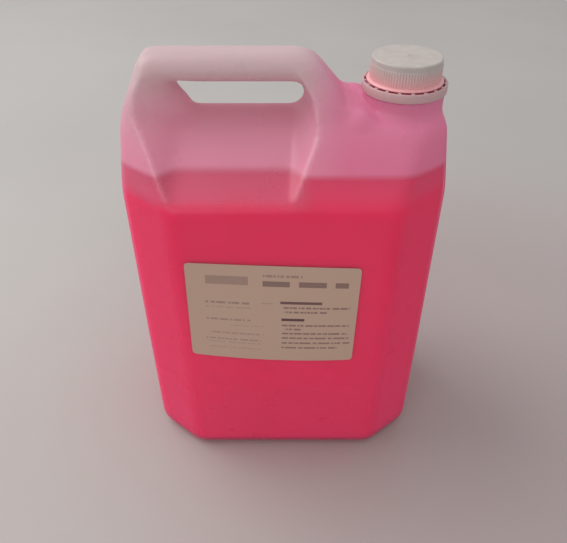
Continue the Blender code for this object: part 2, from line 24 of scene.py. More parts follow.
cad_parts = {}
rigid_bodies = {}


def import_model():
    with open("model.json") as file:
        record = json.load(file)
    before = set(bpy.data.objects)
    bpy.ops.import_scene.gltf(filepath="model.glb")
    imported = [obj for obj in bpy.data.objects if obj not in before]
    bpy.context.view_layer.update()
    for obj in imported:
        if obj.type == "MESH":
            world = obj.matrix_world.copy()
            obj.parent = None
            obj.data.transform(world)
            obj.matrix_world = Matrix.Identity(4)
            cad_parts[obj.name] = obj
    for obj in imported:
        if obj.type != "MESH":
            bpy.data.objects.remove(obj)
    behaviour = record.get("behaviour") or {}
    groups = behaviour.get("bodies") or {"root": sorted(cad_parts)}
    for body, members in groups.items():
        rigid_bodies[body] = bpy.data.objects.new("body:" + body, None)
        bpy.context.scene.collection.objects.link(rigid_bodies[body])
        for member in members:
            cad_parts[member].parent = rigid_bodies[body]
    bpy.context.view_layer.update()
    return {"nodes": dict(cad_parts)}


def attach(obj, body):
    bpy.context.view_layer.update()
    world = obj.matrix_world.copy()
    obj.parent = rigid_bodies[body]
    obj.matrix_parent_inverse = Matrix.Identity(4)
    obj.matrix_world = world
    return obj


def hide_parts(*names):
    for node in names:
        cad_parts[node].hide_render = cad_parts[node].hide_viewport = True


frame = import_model()

MM = 0.001
LOG = logging.getLogger("soap_pack")

Colour = tuple[float, float, float]
Spot = tuple[float, float, float]
Pair = tuple[float, float]
Piece = bpy.types.Object
Socket = bpy.types.NodeSocket
Material = bpy.types.Material


class Place(Enum):
    """The bodies that the pieces ride on."""

    PACK = "root"
    CAP = "cap"


class Slot(Enum):
    """The material slots of the record."""

    NATURAL = "natural_plastic"
    SOAP = "pink_soap"
    WHITE = "white_plastic"
    FOAM = "foam"
    PAPER = "label_paper"


# Modelling helpers


def pick(thing: Piece, *others: Piece) -> None:
    """Selects one object, and others with it, and makes it the active one.

    Args:
        thing: The object that becomes the active one.
        *others: Objects that are selected with it.
    """
    bpy.ops.object.select_all(action="DESELECT")
    for each in (thing, *others):
        each.select_set(True)
    bpy.context.view_layer.objects.active = thing


def join(thing: Piece, *others: Piece) -> None:
    """Joins other objects into one."""
    pick(thing, *others)
    bpy.ops.object.join()


def apply_place(thing: Piece) -> None:
    """Moves an object's place, turn and scale into its mesh."""
    pick(thing)
    bpy.ops.object.transform_apply(location=True, rotation=True, scale=True)


@contextmanager
def editing(thing: Piece, kind: str = "FACE", whole: bool = False) -> Iterator[None]:
    """Opens an object in edit mode.

    Args:
        thing: The object to open.
        kind: What is selected there: VERT, EDGE or FACE.
        whole: Whether all of it starts selected.

    Yields:
        Nothing, while the object is open.
    """
    pick(thing)
    bpy.ops.object.mode_set(mode="EDIT")
    bpy.ops.mesh.select_mode(type=kind)
    if whole:
        bpy.ops.mesh.select_all(action="SELECT")
    yield
    bpy.ops.object.mode_set(mode="OBJECT")


def choose(thing: Piece, test: Callable[[object], bool], kind: str = "faces") -> None:
    """Selects the elements that pass a test, in edit mode.

    Args:
        thing: The object being edited.
        test: Says of a face, edge or vertex if it is wanted.
        kind: Which elements are tested: faces, edges or verts.
    """
    bpy.ops.mesh.select_all(action="DESELECT")
    shape = bmesh.from_edit_mesh(thing.data)
    for element in getattr(shape, kind):
        if test(element):
            element.select_set(True)
    shape.select_flush_mode()
    bmesh.update_edit_mesh(thing.data)


def modify(thing: Piece, kind: str, **settings: object) -> None:
    """Adds a modifier and applies it.

    Args:
        thing: The object that gets it.
        kind: The modifier's type.
        **settings: Its settings by name.
    """
    modifier = thing.modifiers.new(kind.lower(), kind)
    for name, value in settings.items():
        setattr(modifier, name, value)
    pick(thing)
    bpy.ops.object.modifier_apply(modifier=modifier.name)


def settle(thing: Piece, crease: float = 35.0) -> None:
    """Leaves a piece at the origin, smooth, with sharp edges where it turns more than the crease angle."""
    apply_place(thing)
    bpy.ops.object.shade_smooth_by_angle(angle=math.radians(crease))


def turned(name: str, outline: Sequence[Pair], steps: int, centre: Pair) -> Piece:
    """A turned surface: a circle extruded from ring to ring along an outline.

    Args:
        name: The new object's name.
        outline: Points as (radius, height), in order along the surface.
        steps: How many points each ring has.
        centre: The axis as (x, y).

    Returns:
        The object, its first and last rings still open.
    """
    (radius, height), rest = outline[0], outline[1:]
    bpy.ops.object.select_all(action="DESELECT")
    bpy.ops.mesh.primitive_circle_add(vertices=steps, radius=radius, location=(*centre, height))
    thing = bpy.context.object
    thing.name = name
    with editing(thing, "EDGE", whole=True):
        for next_radius, next_height in rest:
            rise, share = next_height - height, next_radius / radius
            bpy.ops.mesh.extrude_edges_move(TRANSFORM_OT_translate={"value": (0.0, 0.0, rise)})
            bpy.ops.transform.resize(value=(share, share, 1.0), center_override=(*centre, next_height))
            radius, height = next_radius, next_height
    apply_place(thing)
    return thing


def outward(thing: Piece) -> None:
    """Merges doubles and turns all faces outwards.

    Args:
        thing: The piece to mend.
    """
    with editing(thing, whole=True):
        bpy.ops.mesh.remove_doubles(threshold=0.001 * MM)
        bpy.ops.mesh.normals_make_consistent(inside=False)


def close_ends(thing: Piece) -> None:
    """Fills each open ring with a face.

    Args:
        thing: The piece to close.
    """
    with editing(thing, "EDGE"):
        choose(thing, lambda edge: edge.is_boundary, "edges")
        bpy.ops.mesh.edge_face_add()


def copy_of(thing: Piece, name: str) -> Piece:
    """A copy with a mesh of its own.

    Args:
        thing: The object to copy.
        name: The copy's name.

    Returns:
        The copy.
    """
    twin = thing.copy()
    twin.data = thing.data.copy()
    twin.name = name
    bpy.context.scene.collection.objects.link(twin)
    return twin


def points_of(thing: Piece) -> np.ndarray:
    """The vertices of a mesh.

    Args:
        thing: The object that has the mesh.

    Returns:
        One row of x, y and z for each vertex.
    """
    flat = np.empty(len(thing.data.vertices) * 3)
    thing.data.vertices.foreach_get("co", flat)
    return flat.reshape(-1, 3)


def put_points(thing: Piece, points: np.ndarray) -> None:
    """Writes moved vertices back to a mesh."""
    thing.data.vertices.foreach_set("co", points.reshape(-1))
    thing.data.update()


def ramp(values: np.ndarray, start: float, end: float) -> np.ndarray:
    """A straight change from 0 at the start to 1 at the end, level outside."""
    return np.clip((values - start) / (end - start), 0.0, 1.0)


def tree_of(spots: Sequence[Vector]) -> KDTree:
    """Points made searchable.

    Args:
        spots: The points.

    Returns:
        A tree that finds the nearest of them.
    """
    tree = KDTree(len(spots))
    for index, spot in enumerate(spots):
        tree.insert(spot, index)
    tree.balance()
    return tree


def triangles_of(thing: Piece) -> int:
    """How many triangles a piece has."""
    return sum(len(face.vertices) - 2 for face in thing.data.polygons)


# Finishes


class Graph:
    """A material's node tree, written one node at a time."""

    def __init__(self, name: str) -> None:
        """Starts an empty material.

        Args:
            name: The material's name.
        """
        self.material = bpy.data.materials.new(name)
        self.material.use_nodes = True
        self.tree = self.material.node_tree
        self.tree.nodes.clear()

    def node(self, kind: str, inputs: dict[str, object] | None = None, **settings: object) -> bpy.types.Node:
        """Adds a node.

        Args:
            kind: The node's type without its ShaderNode prefix.
            inputs: Values or sockets for its inputs, by socket name or number.
            **settings: The node's own properties.

        Returns:
            The node.
        """
        made = self.tree.nodes.new("ShaderNode" + kind)
        for name, value in settings.items():
            setattr(made, name, value)
        for key, value in (inputs or {}).items():
            self.feed(made.inputs[key], value)
        return made

    def feed(self, socket: Socket, value: object) -> None:
        """Sets a socket to a value, or links another socket to it.

        Args:
            socket: The input.
            value: A number, a vector, a colour or an output socket.
        """
        if isinstance(value, Socket):
            self.tree.links.new(value, socket)
        elif isinstance(value, tuple) and len(value) == 3 and socket.type == "RGBA":
            socket.default_value = (*value, 1.0)
        else:
            socket.default_value = value

    def math(self, operation: str, first: object, second: object = 0.0, clamp: bool = False) -> Socket:
        """The result of a Math node."""
        return self.node("Math", {0: first, 1: second}, operation=operation, use_clamp=clamp).outputs[0]

    def times(self, first: object, second: object) -> Socket:
        """The product of two values."""
        return self.math("MULTIPLY", first, second)

    def less(self, first: object, second: object) -> Socket:
        """The first value less the second."""
        return self.math("SUBTRACT", first, second)

    def add(self, first: object, second: object, third: float = 0.0) -> Socket:
        """The sum of up to three values."""
        return self.math("ADD", self.math("ADD", first, second), third)

    def between(self, value: object, low: float, high: float, start: float = 0.0, end: float = 1.0) -> Socket:
        """A smooth clamped change from start to end, as the value goes from low to high."""
        spread = {"Value": value, "From Min": low, "From Max": high, "To Min": start, "To Max": end}
        return self.node("MapRange", spread, interpolation_type="SMOOTHSTEP").outputs["Result"]

    def blend(self, share: object, first: object, second: object) -> Socket:
        """A colour between two colours."""
        return self.node("Mix", {0: share, 6: first, 7: second}, data_type="RGBA").outputs[2]

    def place(self) -> Socket:
        """The Object coordinates."""
        return self.node("TexCoord").outputs["Object"]

    def axis(self, name: str) -> Socket:
        """One of the Object coordinates: X, Y or Z."""
        return self.node("SeparateXYZ", {0: self.place()}).outputs[name]

    def part(self, name: str) -> Socket:
        """A value stored on the mesh."""
        return self.node("Attribute", attribute_name=name).outputs["Fac"]

    def noise(
        self, scale: float, detail: float = 3.0, roughness: float = 0.5, stretch: Spot = (1.0, 1.0, 1.0)
    ) -> Socket:
        """Noise on the Object coordinates.

        Args:
            scale: Its scale per metre.
            detail: How many finer layers it has.
            roughness: How strong they are.
            stretch: Its scale along each axis.

        Returns:
            A value of about 0 to 1.
        """
        mapped = self.node("Mapping", {"Vector": self.place(), "Scale": stretch}).outputs[0]
        wanted = {"Vector": mapped, "Scale": scale, "Detail": detail, "Roughness": roughness}
        return self.node("TexNoise", wanted).outputs["Fac"]

    def bump(self, height: object, strength: float, distance: float, under: object | None = None) -> Socket:
        """The normal over a height field.

        Args:
            height: The field, 0 to 1.
            strength: How much of it counts.
            distance: Its depth in metres.
            under: The normal below it, where it lies on another bump.

        Returns:
            The normal.
        """
        wanted = {"Height": height, "Strength": strength, "Distance": distance}
        if under is not None:
            wanted["Normal"] = under
        return self.node("Bump", wanted).outputs[0]

    def solid(self, colour: object, rough: object, normal: object, gloss: float = 0.5) -> Material:
        """Ends the material as an opaque body.

        Args:
            colour: Its colour.
            rough: Its roughness.
            normal: Its normal.
            gloss: How strongly it mirrors.

        Returns:
            The material.
        """
        wanted = {"Base Color": colour, "Roughness": rough, "Specular IOR Level": gloss, "Normal": normal}
        return self.done(self.node("BsdfPrincipled", wanted).outputs[0])

    def done(self, surface: Socket) -> Material:
        """Ends the material with its surface."""
        self.node("OutputMaterial", {"Surface": surface})
        return self.material


@dataclass(frozen=True)
class NaturalPlastic:
    """Uncoloured blow-moulded plastic: it shows the soap it touches and blurs what lies farther behind it."""

    wet_milk: float = 0.19
    foot_milk: float = 0.07
    haze_milk: float = 0.32
    dry_milk: float = 0.80
    # Painted highlight along the scoops' outlines: extra milk there.
    ridge_highlight_milk: float = 0.16
    corner_loss: float = 0.10
    through: float = 0.52
    roughness: float = 0.3
    gloss: float = 0.03
    edge_gloss: float = 0.08
    wet_tint: Colour = (1.0, 0.20, 0.45)
    clear_tint: Colour = (1.0, 0.86, 0.90)
    rim_tint: Colour = (1.0, 0.40, 0.55)
    haze_tint: Colour = (0.86, 0.34, 0.52)
    # Painted highlight along the scoops' outlines: a paler tint there.
    ridge_highlight_tint: Colour = (1.0, 0.72, 0.80)
    # Low tints: partly a film of soap, partly a painted pink glow from the soap below; they fade to the high
    # tints towards the top.
    low_film_and_glow_tint: Colour = (0.97, 0.50, 0.68)
    high_tint: Colour = (0.84, 0.72, 0.74)
    neck_low_film_and_glow_tint: Colour = (0.96, 0.37, 0.60)
    neck_high_tint: Colour = (1.0, 0.50, 0.74)
    bend: float = 206 * MM
    haze_line: float = 217 * MM
    soap_line: float = 225 * MM
    top_line: float = 274 * MM
    scoop_side: Pair = (8 * MM, 18 * MM)
    handle_side: float = 8 * MM
    neck_side: float = 40 * MM
    foot: float = 110 * MM
    waterline: Pair = (-1.5 * MM, 2.5 * MM)
    plain_haze: float = 0.35
    # Heights where the painted highlight along the scoops' outlines fades in and out, and how much of its
    # paler tint is laid on.
    ridge_start: Pair = (212 * MM, 218 * MM)
    ridge_end: Pair = (252 * MM, 264 * MM)
    ridge_highlight_share: float = 0.45
    cloudiness: float = 0.06
    least_milk: float = 0.02
    most_milk: float = 0.96
    least_slant: float = 0.2
    rim_slant: Pair = (0.5, 0.95)
    dry_clear: Colour = (1.0, 0.95, 0.96)

    def tint(self, g: Graph, dry: Socket, haze: Socket, ridge: Socket) -> Socket:
        """The plastic's colour by height and side, pinker just above the soap and paler towards the top:
        partly a film of soap, partly a painted pink glow from the soap below.

        Args:
            g: The graph to build in.
            dry: How far a point lies above the soap, 0 to 1.
            haze: How much the plastic stands off the soap, 0 to 1.
            ridge: How near a scoop's outline is, 0 to 1, where a painted highlight goes.

        Returns:
            The colour.
        """
        rise = g.between(g.axis("Z"), self.soap_line, self.top_line)
        beside = g.between(g.axis("X"), self.handle_side, self.neck_side)
        low = g.blend(beside, self.low_film_and_glow_tint, self.neck_low_film_and_glow_tint)
        high = g.blend(beside, self.high_tint, self.neck_high_tint)
        # The dry plastic's pink fades with height: partly a soap film, partly painted glow from the soap
        # below.
        tint = g.blend(dry, g.blend(haze, self.wet_tint, self.haze_tint), g.blend(rise, low, high))
        # Painted highlight: the tint turns paler near the scoops' outlines.
        return g.blend(g.times(ridge, self.ridge_highlight_share), tint, self.ridge_highlight_tint)

    def milk(self, g: Graph, dry: Socket, haze: Socket, ridge: Socket, cloud: Socket) -> Socket:
        """How much the plastic scatters, seen square on.

        Args:
            g: The graph to build in.
            dry: How far a point lies above the soap, 0 to 1.
            haze: How much the plastic stands off the soap, 0 to 1.
            ridge: How near a scoop's outline is, 0 to 1, where a painted highlight goes.
            cloud: Soft unevenness.

        Returns:
            The share that is scattered.
        """
        milk = g.between(haze, 0.0, 1.0, self.wet_milk, self.haze_milk)
        milk = g.add(milk, g.between(g.axis("Z"), 0.0, self.foot, self.foot_milk, 0.0))
        milk = g.node("Mix", {0: dry, 2: milk, 3: self.dry_milk}).outputs[0]
        milk = g.add(milk, g.times(cloud, self.cloudiness), -self.cloudiness / 2)
        milk = g.less(milk, g.times(g.part("corner"), self.corner_loss))
        # Painted highlight: more milk near the scoops' outlines.
        milk = g.add(milk, g.times(ridge, self.ridge_highlight_milk))
        return g.math("MINIMUM", g.math("MAXIMUM", milk, self.least_milk), self.most_milk)

    def build(self) -> Material:
        """Makes the material.

        Returns:
            The material.
        """
        g = Graph("natural_plastic_skin")
        height = g.axis("Z")
        dry = g.between(height, *(self.soap_line + step for step in self.waterline))
        scoop = g.between(g.axis("X"), *self.scoop_side, 1.0, self.plain_haze)
        haze = g.times(g.between(height, self.bend, self.haze_line), scoop)
        window = g.times(g.between(height, *self.ridge_start), g.between(height, *self.ridge_end, 1.0, 0.0))
        # The mask of the painted highlight: near the scoops' outlines, within a band of heights.
        ridge = g.times(g.part("ridge"), window)
        cloud = g.noise(38.0, 4.0)
        waves = g.noise(22.0, 2.0, stretch=(1.0, 1.0, 0.35))
        normal = g.bump(g.noise(900.0, 2.0), 0.25, 0.1 * MM, g.bump(waves, 0.5, 1.2 * MM))
        facing = g.node("LayerWeight", {"Blend": 0.5, "Normal": normal}).outputs["Facing"]
        path = g.math("DIVIDE", 1.0, g.math("MAXIMUM", g.less(1.0, facing), self.least_slant))
        milk = g.less(1.0, self.milk(g, dry, haze, ridge, cloud))
        milk = g.math("SUBTRACT", 1.0, g.math("POWER", milk, path), clamp=True)
        rough = g.between(cloud, 0.3, 0.7, self.roughness - 0.04, self.roughness + 0.06)
        tint = self.tint(g, dry, haze, ridge)
        skin = g.node("BsdfDiffuse", {"Color": tint, "Normal": normal})
        back = g.node("BsdfTranslucent", {"Color": tint, "Normal": normal})
        body = g.node("MixShader", {0: self.through, 1: skin.outputs[0], 2: back.outputs[0]})
        rim = g.blend(g.between(facing, *self.rim_slant), self.clear_tint, self.rim_tint)
        clear = g.node("BsdfTransparent", {"Color": g.blend(dry, rim, self.dry_clear)})
        see = g.node("MixShader", {0: milk, 1: clear.outputs[0], 2: body.outputs[0]})
        edge = g.add(g.times(g.math("POWER", facing, 5.0), self.edge_gloss), self.gloss)
        outside = g.less(1.0, g.node("NewGeometry").outputs["Backfacing"])
        gloss = g.node("BsdfGlossy", {"Color": (1.0, 1.0, 1.0), "Roughness": rough, "Normal": normal})
        whole = g.node("MixShader", {0: g.times(edge, outside), 1: see.outputs[0], 2: gloss.outputs[0]})
        return g.done(whole.outputs[0])


@dataclass(frozen=True)
class PinkSoap:
    """Thick pink liquid soap, pearly and nearly opaque, with painted shade that makes it darker just below
    its surface.
    """

    deep: Colour = (0.96, 0.028, 0.16)
    light: Colour = (0.99, 0.042, 0.19)
    # Painted shade: the soap's top band is darker.
    crown_shade: Colour = (0.76, 0.030, 0.155)
    crown_foot: float = 206 * MM
    crown_top: float = 222 * MM
    roughness: float = 0.22
    gloss: float = 0.06

    def build(self) -> Material:
        """Makes the material.

        Returns:
            The material.
        """
        g = Graph("pink_liquid_soap")
        swirl = g.noise(14.0, 3.0, stretch=(1.0, 1.0, 0.5))
        colour = g.blend(g.between(swirl, 0.35, 0.65), self.deep, self.light)
        # Painted shade: darker towards the soap's top.
        colour = g.blend(g.between(g.axis("Z"), self.crown_foot, self.crown_top), colour, self.crown_shade)
        rough = g.between(swirl, 0.3, 0.7, self.roughness, self.roughness + 0.08)
        return g.solid(colour, rough, g.bump(g.noise(60.0, 2.0), 0.2, 0.4 * MM), self.gloss)


@dataclass(frozen=True)
class WhitePlastic:
    """Injection-moulded white cap plastic, satin, faintly warm, the soap's pink shining up into its foot."""

    name: str = "white_cap_plastic"
    light: Colour = (0.50, 0.455, 0.435)
    dull: Colour = (0.46, 0.41, 0.39)
    # Painted glow: the soap's pink light, laid on the colour low down and fading upwards.
    glow: Colour = (0.96, 0.40, 0.44)
    glow_share: float = 0.85
    glow_foot: float = 260.0 * MM
    glow_top: float = 276.0 * MM
    roughness: float = 0.42

    def build(self) -> Material:
        """Makes the material.

        Returns:
            The material.
        """
        g = Graph(self.name)
        cloud = g.noise(120.0, 3.0)
        colour = g.blend(g.between(cloud, 0.3, 0.7), self.light, self.dull)
        # Painted glow: pink at the foot, fading to none at the top.
        glow = g.between(g.axis("Z"), self.glow_foot, self.glow_top, self.glow_share, 0.0)
        rough = g.between(cloud, 0.3, 0.7, self.roughness - 0.04, self.roughness + 0.06)
        return g.solid(g.blend(glow, colour, self.glow), rough, g.bump(g.noise(2400.0, 2.0), 0.2, 0.05 * MM))


@dataclass(frozen=True)
class Foam:
    """Fine closed-cell foam of the sealing wad."""

    colour: Colour = (0.62, 0.60, 0.57)
    cell: float = 2600.0
    pit: float = 0.85

    def build(self) -> Material:
        """Makes the material.

        Returns:
            The material.
        """
        g = Graph("foam_wad")
        cells = g.node("TexVoronoi", {"Vector": g.place(), "Scale": self.cell}).outputs["Distance"]
        colour = g.blend(g.between(cells, 0.1, 0.6), tuple(c * self.pit for c in self.colour), self.colour)
        return g.solid(colour, g.between(cells, 0.1, 0.6, 0.9, 0.75), g.bump(cells, 0.5, 0.1 * MM))


@dataclass(frozen=True)
class Bar:
    """One bar of print in shares of the label, down from its upper edge, plain or broken into words."""

    left: float
    right: float
    middle: float
    height: float
    ink: float
    words: float


@dataclass(frozen=True)
class LabelPaper:
    """White label paper with plain bars of print in two columns."""

    paper: Colour = (0.565, 0.385, 0.300)
    ink: Colour = (0.10, 0.035, 0.05)
    roughness: float = 0.5
    shade: float = 0.8
    line_shift: float = 97.0
    word_end: Pair = (0.40, 0.44)
    bars: tuple[Bar, ...] = (
        Bar(0.113, 0.357, 0.152, 0.085, 0.36, 0.0),
        Bar(0.437, 0.667, 0.097, 0.024, 0.42, 60.0),
        Bar(0.440, 0.596, 0.174, 0.054, 0.62, 0.0),
        Bar(0.648, 0.808, 0.174, 0.054, 0.62, 0.0),
        Bar(0.858, 0.935, 0.174, 0.054, 0.62, 0.0),
        Bar(0.104, 0.371, 0.381, 0.022, 0.42, 50.0),
        Bar(0.104, 0.377, 0.430, 0.012, 0.22, 50.0),
        Bar(0.430, 0.500, 0.372, 0.014, 0.22, 0.0),
        Bar(0.107, 0.368, 0.561, 0.020, 0.36, 50.0),
        Bar(0.249, 0.451, 0.622, 0.010, 0.20, 50.0),
        Bar(0.128, 0.446, 0.711, 0.018, 0.30, 50.0),
        Bar(0.096, 0.428, 0.781, 0.016, 0.34, 50.0),
        Bar(0.110, 0.428, 0.818, 0.012, 0.24, 50.0),
        Bar(0.116, 0.428, 0.879, 0.012, 0.20, 50.0),
        Bar(0.544, 0.789, 0.360, 0.027, 0.85, 0.0),
        Bar(0.556, 0.956, 0.411, 0.019, 0.60, 60.0),
        Bar(0.566, 0.824, 0.456, 0.019, 0.60, 60.0),
        Bar(0.552, 0.689, 0.537, 0.027, 0.95, 0.0),
        Bar(0.556, 0.960, 0.598, 0.019, 0.58, 60.0),
        Bar(0.568, 0.669, 0.640, 0.019, 0.58, 60.0),
        Bar(0.556, 0.957, 0.687, 0.019, 0.58, 60.0),
        Bar(0.556, 0.971, 0.738, 0.019, 0.58, 60.0),
        Bar(0.556, 0.978, 0.794, 0.019, 0.58, 60.0),
        Bar(0.556, 0.897, 0.848, 0.019, 0.58, 60.0),
    )

    @staticmethod
    def covers(g: Graph, place: Socket, middle: float, half: float) -> Socket:
        """Whether a place along one axis is within half a length of the middle."""
        return g.math("LESS_THAN", g.math("ABSOLUTE", g.less(place, middle)), half)

    def print_of(self, g: Graph) -> Socket:
        """Prints the bars.

        Args:
            g: The graph to build in.

        Returns:
            How much ink lies at a point, 0 to 1.
        """
        flat = g.node("SeparateXYZ", {0: g.node("UVMap", uv_map="print").outputs[0]})
        across, down = flat.outputs[0], g.less(1.0, flat.outputs[1])
        total: object = 0.0
        for bar in self.bars:
            long = self.covers(g, across, (bar.left + bar.right) / 2, (bar.right - bar.left) / 2)
            inside = g.times(long, self.covers(g, down, bar.middle, bar.height / 2))
            if bar.words:
                word = g.add(g.times(across, bar.words), bar.middle * self.line_shift)
                chance = g.node("TexNoise", {"W": word, "Scale": 1.0, "Detail": 1.0}, noise_dimensions="1D")
                inside = g.times(inside, g.between(chance.outputs["Fac"], *self.word_end))
            total = g.math("MAXIMUM", total, g.times(inside, bar.ink))
        return total

    def build(self) -> Material:
        """Makes the material.

        Returns:
            The material.
        """
        g = Graph("label_paper")
        fibre = g.noise(700.0, 4.0, 0.6)
        dull = tuple(c * self.shade for c in self.paper)
        colour = g.blend(g.between(fibre, 0.2, 0.8, 0.0, 0.12), self.paper, dull)
        rough = g.between(fibre, 0.3, 0.7, self.roughness - 0.05, self.roughness + 0.08)
        return g.solid(g.blend(self.print_of(g), colour, self.ink), rough, g.bump(fibre, 0.25, 0.08 * MM))


@dataclass(frozen=True)
class TableTop:
    """The plain pale table that the pack stands on, with a darker pink patch to the pack's right: painted
    shade, and painted pink light come through the soap.
    """

    colour: Colour = (0.46, 0.442, 0.432)
    # Painted shade and pink glow: a darker pink patch around a point to the pack's right, fading out with
    # distance.
    glow: Colour = (0.38, 0.30, 0.305)
    glow_share: float = 0.6
    shade_and_glow_place: Spot = (-0.22, 0.0, 0.0)
    shade_and_glow_near: float = 0.12
    shade_and_glow_far: float = 0.50
    roughness: float = 0.6
    shade: float = 0.95

    def build(self) -> Material:
        """Makes the material.

        Returns:
            The material.
        """
        g = Graph("pale_table")
        cloud = g.noise(3.0, 3.0)
        dull = tuple(c * self.shade for c in self.colour)
        colour = g.blend(g.between(cloud, 0.3, 0.7), dull, self.colour)
        # Painted shade and pink glow, strongest near its centre.
        place = g.node("Mapping", {"Vector": g.place(), "Location": self.shade_and_glow_place}).outputs[0]
        away = g.node("VectorMath", {0: place}, operation="LENGTH").outputs["Value"]
        glow = g.between(away, self.shade_and_glow_near, self.shade_and_glow_far, self.glow_share, 0.0)
        grain = g.bump(g.noise(260.0, 3.0), 0.1, 0.3 * MM)
        return g.solid(g.blend(glow, colour, self.glow), self.roughness, grain)


def dress(thing: Piece, material: Material) -> None:
    """Gives a piece its one material."""
    thing.data.materials.clear()
    thing.data.materials.append(material)


def enlist(thing: Piece, place: Place, slot: Slot, *nodes: str) -> None:
    """Hangs a piece on its body and hides the solids that it stands for.

    Args:
        thing: The piece.
        place: The body that it rides on.
        slot: The record's slot; not used.
        *nodes: The solids that it stands for.
    """
    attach(thing, place.value)
    if nodes:
        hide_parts(*nodes)


# The pack's pieces


@dataclass
class Swell:
    """How far the panels stand out where the soap pushes them."""

    front: float = 4.8 * MM
    side: float = 2.0 * MM
    front_half: float = 65 * MM
    side_half: float = 40 * MM
    middle: float = 85 * MM
    below: float = 75 * MM
    above: float = 120 * MM
    front_edge: Pair = (50 * MM, 60 * MM)
    side_edge: Pair = (80 * MM, 90 * MM)

    def rise(self, across: np.ndarray, height: np.ndarray, half: float) -> np.ndarray:
        """The swell's share by place.

        Args:
            across: Places across the panel.
            height: Their heights.
            half: Half the panel's width.

        Returns:
            A share from 0 to 1 for each place.
        """
        reach = np.where(height < self.middle, self.below, self.above)
        up = np.clip((height - self.middle) / reach, -1.0, 1.0)
        side = np.clip(across / half, -1.0, 1.0)
        return (1 - side**2) * np.cos(up * math.pi / 2) ** 2

    def apply(self, points: np.ndarray) -> np.ndarray:
        """Moves points of the plain bottle out with its panels.

        Args:
            points: The points.

        Returns:
            The moved points.
        """
        x, y, z = points.T
        moved = points.copy()
        near_front = ramp(np.abs(y), *self.front_edge)
        near_side = ramp(np.abs(x), *self.side_edge)
        moved[:, 1] += np.sign(y) * near_front * self.front * self.rise(x, z, self.front_half)
        moved[:, 0] += np.sign(x) * near_side * self.side * self.rise(y, z, self.side_half)
        return moved


@dataclass
class Trim:
    """Where the blown skin leaves the plain solid: the slot's corner, the left post, the bar, the saddle."""

    corner: Pair = (-59 * MM, 261.5 * MM)
    corner_spread: float = 4 * MM
    corner_depth: Pair = (16 * MM, 10 * MM)
    corner_out: float = 5 * MM
    corner_up: float = 1 * MM
    post: float = -84 * MM
    post_half: float = 9 * MM
    post_depth: Pair = (8 * MM, 18 * MM)
    post_foot: Pair = (240 * MM, 254 * MM)
    post_top: Pair = (270 * MM, 262 * MM)
    post_out: float = 2.5 * MM
    lean_rise: Pair = (241 * MM, 267 * MM)
    lean_side: Pair = (-78 * MM, -86 * MM)
    lean_in: float = 2.6 * MM
    bar_rise: Pair = (266 * MM, 276 * MM)
    bar_side: Pair = (30 * MM, 18 * MM)
    bar_up: float = 1.4 * MM
    saddle: float = 44.5 * MM
    saddle_width: float = 8 * MM
    saddle_depth: Pair = (33 * MM, 24 * MM)
    saddle_top: Pair = (256 * MM, 251 * MM)
    saddle_foot: Pair = (234 * MM, 242 * MM)
    saddle_up: float = 5 * MM

    def apply(self, points: np.ndarray) -> np.ndarray:
        """Moves points of the skin.

        Args:
            points: The points.

        Returns:
            The moved points.
        """
        x, y, z = points.T
        depth = np.abs(y)
        away = (x - self.corner[0]) ** 2 + (z - self.corner[1]) ** 2
        corner = ramp(depth, *self.corner_depth) * np.exp(-away / (2 * self.corner_spread**2))
        post = np.clip(1 - ((x - self.post) / self.post_half) ** 2, 0.0, 1.0) * ramp(depth, *self.post_depth)
        post *= ramp(z, *self.post_foot) * ramp(z, *self.post_top)
        lean = ramp(z, *self.lean_rise) * ramp(x, *self.lean_side)
        bar = ramp(z, *self.bar_rise) * ramp(x, *self.bar_side)
        saddle = np.exp(-(((x - self.saddle) / self.saddle_width) ** 2)) * ramp(depth, *self.saddle_depth)
        saddle *= ramp(z, *self.saddle_top) * ramp(z, *self.saddle_foot)
        moved = points.copy()
        moved[:, 0] += self.lean_in * lean - self.post_out * post - self.corner_out * corner
        moved[:, 2] += self.corner_up * corner + self.bar_up * bar + self.saddle_up * saddle
        return moved


